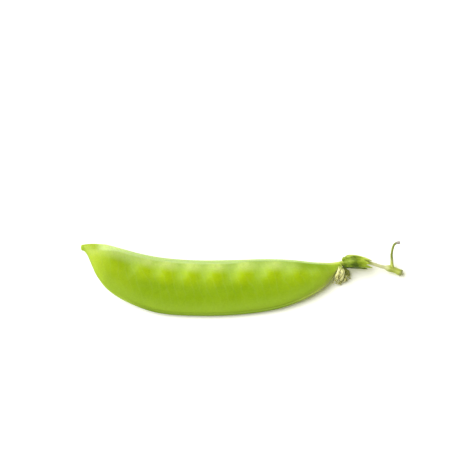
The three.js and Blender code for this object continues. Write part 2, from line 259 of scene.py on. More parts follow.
POD_RINGS = 500
BEAK_RINGS = 10
SEED_SUTURE_POINTS = 22
ROUND_SUTURE_POINTS = 16
WALL_POINTS = 54
EVEN_SPACING = 0.75  # how far the rings are even in length; otherwise they follow the outline's points
BEAK_TURN = math.radians(84)
CREST_FADE = 0.6
SUTURE_BLEND = 0.06
SWELL_HEIGHTS = 0.10, 0.035  # of the slow and the quick unevenness of the wall
PUCKER_DEPTH = 0.13
PUCKER_INSET = 2.3
VEIN_HEIGHT = 0.022
# Both columns sit on the neck side of each swelling, the side that the key light leaves in shade: the yellow
# is the seed's own colour through the wall, the whitish column is the waxy coat with painted highlight, and
# their shift lightens that shaded flank as painted light.
YELLOW_COLUMN = 1.1, 3.0  # how far it lies towards the neck from the top of the swelling, and its width
BLOOM_SHEEN_COLUMN = 1.1, 2.8


def seed_relief(x, inset):
    """How far the seeds raise the wall: a sum of bells, one over each seed, that reach further towards the
    seed-bearing suture than away from it."""
    relief = np.zeros(x.shape)
    for seed_x, size, _ in SEEDS:
        away = inset - SEED_DEPTH * (0.6 + 0.4 * size)
        spread = np.where(away > 0, SEED_SPREAD_INWARDS, SEED_SPREAD_OUTWARDS)
        relief += size * np.exp(-(((x - seed_x) / SEED_SPREAD_ALONG) ** 2) - (away / spread) ** 2)
    return relief


def seed_columns(x, inset, shift, width):
    """0..1: bells side by side, one beside each seed and as high as that seed is ripe, that lean towards the
    beak as they run in from the seed-bearing suture."""
    column = np.zeros(x.shape)
    for seed_x, _, ripeness in SEEDS:
        column += ripeness * bell(x - seed_x - shift + 0.12 * (inset - 4), width)
    return np.minimum(1, column)


def seed_colours(x, inset):
    """Where the wall shows yellow over a seed, and where its whitish waxy coat lies together with painted
    highlight:
    columns that fade in and out with the distance from the seed-bearing suture. The whitish coat and painted
    highlight are strongest above the seeds, thin between them, gone towards the neck and weaker towards the
    beak."""
    yellow = seed_columns(x, inset, *YELLOW_COLUMN)
    yellow = yellow * smoothstep(inset, 1.2, 4.6) * (1 - smoothstep(inset, 5.8, 10.4))
    bloom_sheen = 0.18 + 0.82 * seed_columns(x, inset, *BLOOM_SHEEN_COLUMN)
    bloom_sheen = bloom_sheen * smoothstep(inset, 0.3, 1.2) * (1 - smoothstep(inset, 2.2, 5.4))
    return yellow, bloom_sheen * (1 - 0.9 * smoothstep(x, 14, 22)) * (1 - 0.45 * smoothstep(-x, 30, 38))


def wall_tone(x, inset):
    """0 for the deep green of the middle to 1 for the lighter green of both ends, with slow noise."""
    ends = 0.62 * smoothstep(-x, 31, 44) + 0.34 * bell(x - 17, 5.5)
    upper = 0.1 * (1 - smoothstep(inset, 5, 11))
    drift = 0.16 * value_noise(x / 8 + 3, inset / 5, 21) + 0.08 * value_noise(x / 2.6, inset / 2.4, 22)
    return np.clip(0.16 + ends + upper + drift, 0, 1)


def vein_pattern(x, inset, width, seed):
    """0..1, high on a vein: cross veins that run in from the seed-bearing suture and lean towards the neck,
    and weaker ones that lean towards the beak. Both are thin bells round the whole numbers of a warped
    coordinate."""
    warp = 0.45 * value_noise(x / 6 + 9, inset / 5, seed) + 0.12 * value_noise(x / 1.6, inset / 1.3, seed + 1)
    reach = 1 - smoothstep(inset / width, 0.45, 0.95)
    cross = (x - 0.34 * inset) / 2.9 + warp
    fork = (x + 0.55 * inset) / 3.7 + 1.3 * warp + 0.4
    line = lambda phase, sharp: bell(phase - np.round(phase), sharp)
    return np.maximum(line(cross, 0.075) * (0.35 + 0.65 * reach), 0.6 * line(fork, 0.06) * (1 - 0.5 * reach))


def wall_unevenness(x, y, inset, bulge, seed):
    """Slow and quick noise, and a shallow groove just in from the seed-bearing suture that the seeds fill."""
    slow, quick = SWELL_HEIGHTS
    swell = slow * value_noise(x / 7, y / 5, seed + 2) + quick * value_noise(x / 2.2, y / 2.0, seed + 3)
    return swell - PUCKER_DEPTH * bell(inset - PUCKER_INSET, 1.1) * (1 - np.clip(1.6 * bulge, 0, 1))


def lie(x, y):
    """Height of the pod's middle surface: each end lifts with the square of the distance past its start, and
    the whole leans a little towards its rounded side."""
    beak_lift, beak_start, beak_length = BEAK_LIFT
    neck_lift, neck_start, neck_length = NECK_LIFT
    to_beak = np.maximum(0, beak_start - x) / beak_length
    to_neck = np.maximum(0, x - neck_start) / neck_length
    return beak_lift * to_beak**2 + neck_lift * to_neck**2 + ROLL * y


def pod_chords():
    """The chord under each ring: its share of the way from neck to beak, its middle, its unit direction and
    its width. The last ten close the beak as a quarter round: each is shrunk by the cosine of a turn and
    pushed on by its sine."""
    even = np.linspace(0, 1, 2000)
    run = run_along((smooth_curve(OUTLINE[:, :2], even) + smooth_curve(OUTLINE[:, 2:], even)) / 2)
    spacing = EVEN_SPACING * run / run[-1] + (1 - EVEN_SPACING) * even
    share = np.interp(np.linspace(0, 1, POD_RINGS), spacing, even)
    share = np.concatenate([share, np.ones(BEAK_RINGS)])
    turn = np.linspace(0, BEAK_TURN, BEAK_RINGS + 1)[1:]
    shrink = np.concatenate([np.ones(POD_RINGS), np.cos(turn)])[:, None]
    push = np.concatenate([np.zeros(POD_RINGS), BEAK_ROUNDING * np.sin(turn)])[:, None]
    from_edge = smooth_curve(OUTLINE[:, :2], share)
    to_edge = smooth_curve(OUTLINE[:, 2:], share)
    inwards = unit(to_edge - from_edge)
    onwards = np.stack([inwards[:, 1], -inwards[:, 0]], -1)
    centre = (from_edge + to_edge) / 2 + push * onwards
    width = np.linalg.norm(to_edge - from_edge, axis=1)[:, None]
    return share[:, None], shrink, centre, inwards, width


def chord_points(width, scale):
    """The points across each chord: how far each lies in from the seed-bearing edge, the half thickness of
    the suture there, and 0 outside the sutures' crests to 1 on the wall between them."""
    first = smooth_curve(SEED_SUTURE, np.linspace(0, 1, SEED_SUTURE_POINTS))
    last = smooth_curve(ROUND_SUTURE, np.linspace(0, 1, ROUND_SUTURE_POINTS))[::-1]
    start, end = first[-1, 0] * scale, width - last[0, 0] * scale
    steps = np.arange(1, WALL_POINTS + 1) / (WALL_POINTS + 1)
    inset = np.hstack([first[:, 0] * scale, start + (end - start) * steps, width - last[:, 0] * scale])
    ridge = np.hstack([first[:, 1] * scale, np.zeros((len(width), WALL_POINTS)), last[:, 1] * scale])
    past_first = np.linspace(0, len(SEED_SUTURE) - 1, SEED_SUTURE_POINTS) - SEED_SUTURE_CREST
    past_last = np.linspace(len(ROUND_SUTURE) - 1, 0, ROUND_SUTURE_POINTS) - ROUND_SUTURE_CREST
    past = np.hstack([past_first, np.full(WALL_POINTS, CREST_FADE), past_last])
    return inset, ridge, smoothstep(past, -CREST_FADE, CREST_FADE)


def pod_rings():
    """The pod's surface. A ring is a closed loop round one chord: from the groove of the seed-bearing suture
    over the upper face to the rounded suture, and back under. Half thickness is the soft maximum of the
    suture's own section and a lens (1 - c^2)^p, where c runs from 1 to -1 across the chord."""
    share, shrink, centre, inwards, width = pod_chords()
    scale = np.minimum(1, width / SUTURE_FULL_WIDTH)
    inset, ridge, on_lens = chord_points(width, scale)
    x, y = (centre[:, k, None] + inwards[:, k, None] * (inset - width / 2) * shrink for k in range(2))

    across = np.clip(1 - 2 * inset / width, -1, 1)
    grown = 1 - np.exp(-width / 2 / THICKENING_WIDTH)
    sharpness = 0.5 + 0.45 * grown**3
    flatness = 1 - BEAK_FLATNESS * smoothstep(share, 0.82, 0.97)
    lens = HALF_THICKNESS * grown * flatness * (1 - across**2) ** sharpness * (1 + THICKER_SIDE * across)
    half = soft_maximum(ridge, lens * on_lens, SUTURE_BLEND * scale) - SUTURE_BLEND / 2 * scale
    half[:, [0, -1]] = 0

    bulge = seed_relief(x, inset) * (1 - across**4)
    wall = on_lens * smoothstep(np.minimum(inset, width - inset), 0.6, 2.2)
    faces, veins = [], []
    for side, height, seed in ((1, SEED_HEIGHT_TOP, 11), (-1, SEED_HEIGHT_UNDER, 47)):
        vein = vein_pattern(x, inset, width, seed) * wall
        uneven = wall_unevenness(x, y, inset, bulge, seed)
        relief = height * bulge + wall * uneven + VEIN_HEIGHT * vein
        z = shrink * side * (half + relief) + lie(x, y)
        faces.append(np.stack([x, y, z], -1))
        veins.append(vein)
    loop = lambda top, under: np.concatenate([top, under[:, -2:0:-1]], axis=1)
    rings = loop(*faces)
    rings[..., 2] = np.maximum(0, rings[..., 2] - rings[..., 2].min() - REST_DEPTH)

    # bloom_sheen: the whitish waxy coat together with painted highlight over the seeds' swellings.
    yellow, bloom_sheen = seed_colours(x, inset)
    values = {"yellow": yellow, "bloom_sheen": bloom_sheen, "tone": wall_tone(x, inset)}
    values.update({"inset": inset, "rim": width - inset, "along": x})
    values = {key: loop(value, value) for key, value in values.items()}
    return rings, {**values, "vein": loop(*veins)}


POD_SURFACE, POD_VALUES = pod_rings()
NECK_END = np.array([*OUTLINE[0].reshape(2, 2).mean(0), POD_SURFACE[0, :, 2].mean()])


def pod_shell():
    """The pod as one closed surface."""
    shell = Shell()
    shell.loft(POD_SURFACE, **POD_VALUES)
    return shell


def on_neck(points, turn):
    """Points turned about the Z axis by the given angle and set on the end of the pod's neck."""
    c, s = math.cos(turn), math.sin(turn)
    return points @ np.array([[c, -s, 0], [s, c, 0], [0, 0, 1]]).T + NECK_END


# ---- Calyx ----

CALYX_TURN = math.radians(14)
CALYX_BEND = 0.042  # per mm, times the square of the distance past the neck
CUP_PROFILE = np.array(  # radius, distance past the neck
    [
        [0.02, 0.3],
        [1.2, 0.3],
        [1.2, -0.6],
        [1.4, -0.7],
        [1.55, -0.1],
        [1.7, 0.9],
        [1.7, 2.2],
        [1.3, 3.6],
        [0.75, 4.7],
        [0.02, 4.9],
    ]
)
CUP_RIBS = 10
CUP_RIB_HEIGHT = 0.035
LEAST_RADIUS = 0.02

# Sepals: angle round the axis, length, half width, stand-off at the middle and at the tip, sideways stray,
# how light the leaf is painted at each place of SEPAL_PAINTED_LIGHT_PLACES, and then its margins: how pale
# each one is, first the one on the side of the smaller angles, and where across the leaf that first one
# starts. The lightness is painted light and
# shade: the sepal turned to the key light is light and those under it dark. The margins are pale leaf edges,
# the lit first margin of the upper sepal also painted highlight.
SEPALS = [
    (38, 9.3, 1.75, 2.38, 1.9, 0.0, (0.5, 0.32, 0.68, 1.0), (1.0, 0.1, -0.42)),
    (91, 8.6, 2.0, 2.35, 1.5, -0.1, (0.45, 0.15, 0.68, 1.0), (0.3, 0.15, 0.6)),
    (143, 8.9, 1.5, 2.3, 1.5, -0.3, (0.0, 0.05, 0.4, 0.8), (0.1, 0.1, 0.6)),
    (222, 7.4, 1.3, 2.35, 1.95, -0.4, (0.0, 0.0, 0.1, 0.4), (0.2, 0.2, 0.6)),
    (300, 7.6, 1.6, 2.15, 2.1, 0.3, (0.2, 0.2, 0.3, 0.5), (0.4, 0.4, 0.6)),
]
SEPAL_PAINTED_LIGHT_PLACES = 0.5, 0.74, 0.83, 0.97  # 0 where the spine starts inside the cup, 1 at the tip
SEPAL_THICKNESS = 0.5
MIDRIB_HEIGHT = 0.16
MIDRIB_WIDTH = 0.16
SIDE_VEIN_HEIGHT = 0.04
SIDE_VEINS = 9
TROUGH_DEPTH = 0.3
SEPAL_TWIST = 0.14
MARGIN_WAVE = 0.12


def turned(points, degrees):
    """Points turned about the X axis."""
    a = math.radians(degrees)
    turn = np.array([[1, 0, 0], [0, math.cos(a), -math.sin(a)], [0, math.sin(a), math.cos(a)]])
    return points @ turn.T


def on_calyx(points):
    """Points in the calyx's own frame, bent away from the seed-bearing side by the square of their distance
    past the neck, and set on the neck."""
    points = points.copy()
    points[..., 1] -= CALYX_BEND * np.maximum(0, points[..., 0]) ** 2
    return on_neck(points, CALYX_TURN)


def cup_rings():
    """A bell: the profile's radius at each angle, times 1 + 0.035 cos(10 angle) on the outside for its ribs.
    It is painted lighter on the side of the seed-bearing suture, towards the key light, and darker
    underneath, by the cosine of the angle: painted light and shade."""
    t = np.linspace(0, 1, 90)
    radius, x = smooth_curve(CUP_PROFILE, t).T
    angle = full_turn(120)
    rib = np.cos(CUP_RIBS * angle) * smoothstep(t, 0.35, 0.5)[:, None]
    r = np.maximum(radius, LEAST_RADIUS)[:, None] * (1 + CUP_RIB_HEIGHT * rib)
    rings = np.stack([np.broadcast_to(x[:, None], r.shape), r * np.cos(angle), r * np.sin(angle)], -1)
    return on_calyx(rings), 0.5 + 0.5 * rib, 0.35 + 0.3 * np.cos(angle)


def sepal_painted_light(s, across, lights):
    """How light the leaf is painted: the given painted lights along its spine, with painted shade on the side
    of the larger angles, except at the tip."""
    light = np.interp(s, SEPAL_PAINTED_LIGHT_PLACES, lights)
    return light - 0.25 * smoothstep(across, 0.1, 0.9) * smoothstep(-s, -0.88, -0.65)


def sepal_margins_and_highlight(s, across, first, second, start):
    """How pale the two margins are, partly the leaf's pale edge and partly painted highlight on the lit edge:
    both fade towards the base, and the first one widens at the tip.
    """
    start = start - 0.5 * smoothstep(s, 0.78, 0.95)
    first = first * smoothstep(-across, start, start + 0.35)
    second = second * smoothstep(across, 0.6, 0.95)
    towards_tip = 0.35 + 0.65 * smoothstep(s, 0.6, 0.85)
    return np.maximum(first, second) * towards_tip * smoothstep(s, 0.42, 0.6)


def sepal_rings(order, angle, length, half_width, middle, tip, stray, lights, margins):
    """A pointed blade along a spine that curls back over the cup's rim. Across it the upper and lower faces
    are a thin flat oval, bent into a shallow trough, with a midrib, side veins and a waved margin."""
    spine = [
        [0.6, 1.38, 0],
        [-0.55, 1.5, 0],
        [0.6, middle - 0.6, 0],
        [length * 0.4, middle, stray * 0.3],
        [length * 0.93, tip, stray],
    ]
    s = np.linspace(0, 1, 90)
    centre = smooth_curve(spine, s)
    forward = unit(np.gradient(centre, axis=0))
    side = unit(np.array([0, 0, 1]) - forward * forward[:, 2:])
    out = np.cross(side, forward)
    s = s[:, None]
    to_tip = np.cos(math.pi / 2 * np.clip((s - 0.6) / 0.4, 0, 1)) ** 0.8
    width = half_width * (0.5 + 0.5 * smoothstep(s, 0.15, 0.65)) * np.maximum(0.02, to_tip)

    turn = full_turn(72)
    across = np.sign(np.cos(turn)) * np.abs(np.cos(turn)) ** 0.8
    up = np.sign(np.sin(turn)) * np.abs(np.sin(turn)) ** 0.7
    thin = 1 - 0.55 * across**2
    thick = SEPAL_THICKNESS / 2 * up * np.minimum(1, 0.5 + 1.2 * width) * thin
    midrib = bell(across, MIDRIB_WIDTH) * (up > 0)
    phase = SIDE_VEINS * s - 2.2 * np.abs(across)
    side_vein = bell(phase - np.round(phase), 0.14) * (1 - across**2) * (up > 0)
    ribs = thick + MIDRIB_HEIGHT * midrib * (1 - 0.7 * s) + SIDE_VEIN_HEIGHT * side_vein
    margin = MARGIN_WAVE * half_width * across**2 * np.sin(17 * s + 2.1 * order + 2.5 * np.sign(across))
    wave = SEPAL_TWIST * width * across * np.sin(9 * s + angle) + margin * np.sin(math.pi * s)
    height = ribs - TROUGH_DEPTH * width * across**2 + wave

    rings = carried(centre, side, out, width * across, height)
    # pale: the pale margins with painted highlight on the lit one; light: painted light and shade along the
    # sepal.
    values = {"vein": np.maximum(midrib, 0.6 * side_vein), "pale": sepal_margins_and_highlight(s, across, *margins)}
    values.update({"tip": s, "light": sepal_painted_light(s, across, lights)})
    return on_calyx(turned(rings, angle)), values


def calyx_shell():
    """The cup and its five sepals, each a closed surface that starts inside the cup's wall."""
    shell = Shell()
    cup, rib, light = cup_rings()
    # The cup's light value is painted light and shade, lighter towards the key light.
    shell.loft(cup, vein=0.4 * rib, pale=0.1, tip=0.0, light=light)
    for order, sepal in enumerate(SEPALS):
        rings, values = sepal_rings(order, *sepal)
        shell.loft(rings, **values)
    return shell


# ---- Stalk ----

# Each stalk: points of its path, and the radii that it passes through at even steps along it.
PEDICEL = [
    [38.9, 6.12, 4.58],
    [41.1, 5.9, 4.65],
    [42.95, 5.25, 4.4],
    [45.7, 4.5, 3.5],
    [47.95, 4.1, 2.7],
    [50.05, 3.65, 2.2],
    [51.9, 2.95, 1.75],
    [53.3, 2.35, 1.45],
]
PEDICEL_RADII = [0.78, 0.62, 0.55, 0.52, 0.6, 1.12, 0.95, 1.1]
PEDICEL_RIBS = 5
SECOND_STALK = [
    [50.1, 3.75, 2.4],
    [50.0, 6.2, 3.3],
    [49.9, 8.6, 4.1],
    [50.5, 11.1, 4.6],
    [51.4, 12.0, 4.7],
    [52.6, 12.3, 4.6],
]
SECOND_STALK_RADII = [0.75, 0.48, 0.4, 0.38, 0.4, 0.55]
SECOND_STALK_RIBS = 4
STEM_RIB_HEIGHT = 0.05
STEM_ROUGHNESS = 0.04
STEM_TWIST = 0.8
CUT_RINGS = np.array([0.93, 0.8, 0.6, 0.35, 0.12])[:, None, None]  # radii of the cut face's rings
CUT_DEPTHS = np.array([0.02, -0.02, -0.08, -0.12, -0.13])[:, None, None]


def stem_rings(points, radii, ribs, seed, steps, sides):
    """A tube along a path. Its radius joins the given ones by smooth steps, times 1 + 0.05 cos(ribs * angle)
    for its ribs, which twist a little along it, plus small noise. The last rings turn in over a slightly
    hollow cut face, their radii and depths given as shares of the end's radius."""
    path = even_path(points, steps)
    _, side, over = path_frames(path)
    place = np.linspace(0, len(radii) - 1, steps)
    k = np.minimum(place.astype(int), len(radii) - 2)
    radii = np.array(radii)
    radius = radii[k] + (radii[k + 1] - radii[k]) * smoothstep(place - k, 0, 1)
    angle = full_turn(sides)
    along = np.linspace(0, 1, steps)[:, None]
    rib = np.cos(ribs * (angle + STEM_TWIST * along))
    rough = value_noise(9 * along * len(points) / 4 + 3, 3 * np.cos(angle) + 5, seed)
    r = radius[:, None] * (1 + STEM_RIB_HEIGHT * rib + STEM_ROUGHNESS * rough)
    tube = carried(path, side, over, r * np.cos(angle), r * np.sin(angle))
    hollow = unit(path[-1] - path[-2]) * (CUT_DEPTHS * radius[-1])
    face = path[-1] + (tube[-1] - path[-1]) * CUT_RINGS + hollow

    def joined(on_tube, on_face):
        """One value on the tube's rings and one on the cut face's."""
        on_face = np.broadcast_to(on_face, face.shape[:2])
        return np.concatenate([np.broadcast_to(on_tube, r.shape), on_face])

    values = {
        "rib": joined(0.5 + 0.5 * rib, 0.5),
        "cut": joined(0.5 * smoothstep(along, 0.9, 1.0), 1.5 - 0.5 * CUT_RINGS[..., 0]),
        "along": joined(along, 1.0),
    }
    return np.concatenate([tube, face]), values


def stalk_shell():
    """The pedicel up to its cut end, and the thin stalk of the second flower that leaves its joint."""
    shell = Shell()
    rings, values = stem_rings(PEDICEL, PEDICEL_RADII, PEDICEL_RIBS, seed=71, steps=240, sides=56)
    shell.loft(rings, **values, second=0.0)
    rings, values = stem_rings(
        SECOND_STALK, SECOND_STALK_RADII, SECOND_STALK_RIBS, seed=72, steps=180, sides=40
    )
    shell.loft(rings, **values, second=1.0)
    return shell


# ---- Withered stamens ----

BAND_RADIUS = 1.72
BAND_FROM, BAND_TO = -2.1, -1.35  # along the neck, from its end
BAND_TURN = math.radians(21)
BAND_ARC = np.radians([62, 305])  # round the neck, from the side of the seed-bearing suture
PAPER_THICKNESS = 0.16
FILAMENT_RADIUS = 0.13
ANTHER_RADIUS = 0.22
ANTHER_PLACE = 0.93
THREAD_WAVER = 0.16  # of filaments and strands, sideways
STRAND_RADIUS = 0.11

# Strips of sheath: the points that each follows, its half width at both ends, and how pale it is. Low
# paleness is painted shade: the last strip, dark olive, stands for the shade under the calyx beside the tuft.
STRIPS = [
    ([[32.4, 4.0, 5.8], [32.1, 2.9, 5.6], [31.6, 1.5, 5.0], [31.0, 0.2, 4.2]], (0.6, 0.55), 0.85),
    ([[32.6, 3.4, 5.5], [33.3, 2.2, 5.4], [33.0, 0.9, 4.6], [32.4, -0.2, 3.4]], (0.75, 0.8), 1.0),
    ([[32.7, 2.9, 4.4], [33.7, 1.9, 3.7], [34.1, 0.8, 2.6], [33.9, -0.3, 1.5]], (0.7, 0.8), 0.8),
    ([[32.7, 3.3, 3.75], [33.9, 3.1, 3.2], [35.0, 2.5, 2.3], [36.0, 1.8, 1.4]], (0.9, 0.95), 0.1),
]

# Free filaments: the points that each follows, and how pale it is; the low values are painted shade on the
# threads beside the tuft under the calyx.
FILAMENTS = [
    ([[32.2, 3.7, 6.0], [32.0, 2.1, 5.7], [31.4, -0.1, 4.5]], 1.0),
    ([[32.4, 3.3, 5.4], [32.5, 1.5, 4.7], [31.6, -0.2, 2.8]], 1.0),
    ([[32.5, 3.1, 5.0], [33.2, 1.3, 4.3], [33.0, -0.4, 2.4]], 1.0),
    ([[32.6, 3.0, 4.6], [33.8, 1.4, 4.1], [34.7, -0.1, 2.8]], 0.3),
    ([[32.6, 3.0, 4.0], [33.9, 1.4, 3.0], [35.1, -0.2, 1.1]], 0.1),
    ([[32.7, 3.1, 3.8], [34.2, 1.7, 3.4], [36.2, 0.3, 2.2]], 0.1),
    ([[32.6, 3.1, 4.0], [33.2, 1.0, 2.7], [32.6, -0.5, 1.0]], 0.8),
    ([[32.5, 3.4, 5.5], [33.5, 1.9, 5.1], [35.2, 0.8, 4.0]], 0.2),
]

# Fine strands between them: how many, where they leave the band, and the two lines that their ends reach.
STRANDS = 46
STRAND_ROOT = np.array([32.3, 3.6, 5.9])
STRAND_ROOT_RUN = np.array([0.4, -0.5, -2.1])
STRAND_BOW = np.array([0.35, 0.1, 0.5])
HIGH_ENDS = [[30.7, 0.4, 5.0], [31.5, -0.2, 3.7], [32.6, -0.5, 2.6], [34.0, 0.1, 2.3], [35.4, 1.2, 2.3]]
LOW_ENDS = [[30.1, -1.3, 1.9], [31.3, -1.8, 1.0], [32.6, -1.9, 0.6], [34.0, -1.2, 0.7], [35.2, -0.1, 1.0]]


def strand_paths():
    """Paths of the strands, from the band to two lines below the neck, evenly spread and then strayed a
    little, each bowed outwards in its middle, and how pale each one is: the far and the lower ones are
    dark, painted shade for the shade beside the tuft under the calyx and under the tuft near the floor."""
    rng = np.random.default_rng(31)
    share = (np.arange(STRANDS) + rng.uniform(0, 1, STRANDS)) / STRANDS
    root = STRAND_ROOT + share[:, None] * STRAND_ROOT_RUN
    low = np.arange(STRANDS) % 2 == 0
    end = np.where(low[:, None], smooth_curve(LOW_ENDS, share), smooth_curve(HIGH_ENDS, share))
    end = root + (end - root) * rng.uniform(0.78, 1.0, (STRANDS, 1)) + rng.uniform(-0.2, 0.2, (STRANDS, 3))
    outside_painted_shade = 1 - 0.9 * smoothstep(share, 0.5, 0.8)
    pale = outside_painted_shade * np.where(low, 0.5, 1.0) * rng.uniform(0.9, 1.0, STRANDS)
    middle = (root + end) / 2 + STRAND_BOW + rng.uniform(-0.35, 0.35, (STRANDS, 3))
    return np.stack([root, middle, end], 1), pale


def band_rings():
    """A thin torn band round the neck, split open on the side of the seed-bearing suture: a flat oval section
    carried along an arc, its height and radius uneven with the angle and its two ends tapered."""
    s = np.linspace(0, 1, 150)[:, None]
    angle = BAND_ARC[0] + (BAND_ARC[1] - BAND_ARC[0]) * s
    turn = full_turn(24)
    ragged = value_noise(2.2 * np.cos(angle) + 4, 2.2 * np.sin(angle) + 4, 5)
    taper = 0.35 + 0.65 * np.sin(math.pi * np.clip(s, 0.02, 0.98)) ** 0.5
    reach = (BAND_TO - BAND_FROM) / 2 * (0.85 + 0.4 * ragged) * taper
    x = (BAND_FROM + BAND_TO) / 2 + reach * np.cos(turn)
    crumple = 0.06 * value_noise(6 * np.cos(angle) + 9, 6 * np.sin(angle) + 9, 6)
    r = BAND_RADIUS + crumple + PAPER_THICKNESS * np.sin(turn)
    return on_neck(np.stack([x, r * np.cos(angle), r * np.sin(angle)], -1), BAND_TURN)


def strip_rings(order, path, ends):
    """A papery strip: a flat oval section along a path, rolled about it by 0.5 sin(2.4 order + 3 s), pleated
    lengthwise by sines across it, and narrowed to a torn end."""
    s = np.linspace(0, 1, 110)[:, None]
    path = even_path(path, 110)
    forward, level, over = path_frames(path)
    roll = 0.5 * np.sin(2.4 * order + 3 * s)
    side = level * np.cos(roll) + over * np.sin(roll)
    out = np.cross(forward, side)
    turn = full_turn(60)
    across = np.cos(turn)
    width = (ends[0] + (ends[1] - ends[0]) * s) * (1 - 0.35 * smoothstep(s, 0.8, 1))
    width = width * (1 + 0.16 * value_noise(8 * s + 3 * order, 0 * s + 0.5, 7))
    torn = 0.5 * value_noise(3.2 * across + 7 * order, 0 * across + 2.5, 8) * smoothstep(s, 0.7, 1)
    fibres = 0.06 * np.sin(15 * across + 4 * s + order) + 0.05 * np.sin(8 * across + 5 * s + order)
    pleat = fibres + 0.07 * value_noise(7 * s, 3 * across + order, 9)
    fold = 0.16 * np.sin(2.5 * across + 5 * s + order) + pleat
    height = PAPER_THICKNESS / 2 * np.sin(turn) + fold
    rings = carried(path, side, out, width * across, height) + forward[:, None] * torn[..., None]
    return rings, s, 0.5 + 4 * pleat


def filament_rings(order, points, thickness=FILAMENT_RADIUS, tip=ANTHER_RADIUS):
    """A thread along a wavering path, as a thin tube that ends in a shrivelled anther: its radius grows from
    the thread's to the anther's over the last part and closes again."""
    path = even_path(points, 70)
    s = np.linspace(0, 1, 70)[:, None]
    _, side, over = path_frames(path)
    waver = THREAD_WAVER * np.sin(math.pi * s) * np.sin(9 * s + 1.7 * order)
    path = path + side * waver + over * 0.7 * waver
    turn = full_turn(14)
    anther = bell(s - ANTHER_PLACE, 0.06)
    radius = thickness * (1 - 0.35 * s) + (tip - 0.6 * thickness) * anther
    radius = radius * np.sqrt(np.clip((1.004 - s) / 0.03, 0, 1))
    r = np.maximum(0.01, radius) * (1 + 0.35 * anther * np.cos(2 * turn + order))
    return carried(path, side, over, r * np.cos(turn), r * np.sin(turn)), s, anther


def stamens_shell():
    """The torn band, its strips of sheath, the free filaments and the fine strands, each a closed surface."""
    shell = Shell()
    shell.loft(band_rings(), along=0.0, pleat=0.5, anther=0.0, pale=0.6)
    for order, (path, ends, pale) in enumerate(STRIPS):
        rings, along, pleat = strip_rings(order, path, ends)
        shell.loft(rings, along=along, pleat=pleat, anther=0.0, pale=pale)
    for order, (points, pale) in enumerate(FILAMENTS):
        rings, along, anther = filament_rings(order, points)
        shell.loft(rings, along=along, pleat=0.5, anther=anther, pale=pale)
    for order, (points, pale) in enumerate(zip(*strand_paths())):
        rings, along, anther = filament_rings(order, points, STRAND_RADIUS, STRAND_RADIUS)
        shell.loft(rings, along=along, pleat=0.6, anther=0.5 * anther, pale=pale)
    return shell


# ---- Writing shaders ----

STUDIO_LEVEL = 1.19


def srgb(red, green, blue):
    """A colour given as the 0 to 255 screen values that it shows under the studio's light, as linear RGBA."""
    value = np.array([red, green, blue]) / 255
    linear = np.where(value <= 0.04045, value / 12.92, ((value + 0.055) / 1.055) ** 2.4)
    return (*(linear / STUDIO_LEVEL).tolist(), 1.0)


class Recipe:
    """Writes a shader tree: each call adds a node, sets its plain inputs and links the ones given as
    sockets."""

    def __init__(self, tree):
        self.tree = tree

    def feed(self, node, inputs):
        """Sets the node's inputs {name or number: value}, and links those given as sockets."""
        for key, value in inputs.items():
            if isinstance(value, bpy.types.NodeSocket):
                self.tree.links.new(value, node.inputs[key])
            else:
                node.inputs[key].default_value = value

    def add(self, kind, inputs=None, **settings):
        node = self.tree.nodes.new(kind)
        for key, value in settings.items():
            setattr(node, key, value)
        self.feed(node, inputs or {})
        return node

    def attributes(self, *names):
        """The named values that the mesh carries at its vertices."""
        return [self.add("ShaderNodeAttribute", attribute_name=name).outputs["Fac"] for name in names]

    def math(self, operation, a, b, clamp=False):
        return self.add("ShaderNodeMath", {0: a, 1: b}, operation=operation, use_clamp=clamp).outputs[0]

    def times(self, a, b):
        return self.math("MULTIPLY", a, b)

    def mix(self, factor, a, b, blend="MIX"):
        """a where factor is 0 and b where it is 1, or b blended into a in the given way."""
        node = self.add("ShaderNodeMix", {0: factor, 6: a, 7: b}, data_type="RGBA", blend_type=blend)
        return node.outputs[2]

    def remap(self, value, low, high, to_low=0.0, to_high=1.0):
        """A smooth step from to_low, where value is low, to to_high, where value is high."""
        inputs = {"Value": value, "From Min": low, "From Max": high, "To Min": to_low, "To Max": to_high}
        return self.add("ShaderNodeMapRange", inputs, interpolation_type="SMOOTHSTEP").outputs["Result"]

    def place(self, scale=(1, 1, 1)):
        """Object coordinates in millimetres, stretched by scale."""
        point = self.add("ShaderNodeTexCoord").outputs["Object"]
        size = tuple(s / MM for s in scale)
        return self.add("ShaderNodeMapping", {"Vector": point, "Scale": size}).outputs["Vector"]

    def noise(self, vector, scale, detail=2.0, roughness=0.5):
        inputs = {"Vector": vector, "Scale": scale, "Detail": detail, "Roughness": roughness}
        return self.add("ShaderNodeTexNoise", inputs).outputs["Fac"]

    def bump(self, height, distance_mm):
        """Normals as if the surface were raised by up to distance_mm where height is 1."""
        inputs = {"Height": height, "Distance": distance_mm * MM, "Strength": 1.0}
        return self.add("ShaderNodeBump", inputs).outputs["Normal"]

    def mottling(self, patch_mm, grain_mm):
        """The broad patches and the fine grain of green tissue."""
        inputs = {"Patch mm": patch_mm, "Grain mm": grain_mm}
        node = self.add("ShaderNodeGroup", inputs, node_tree=MOTTLING)
        return node.outputs["Patches"], node.outputs["Grain"]

    def specks(self, spacing_mm, size, share):
        """A mask of small scattered scars."""
        inputs = {"Spacing mm": spacing_mm, "Size": size, "Share": share}
        return self.add("ShaderNodeGroup", inputs, node_tree=SPECKS).outputs["Mask"]


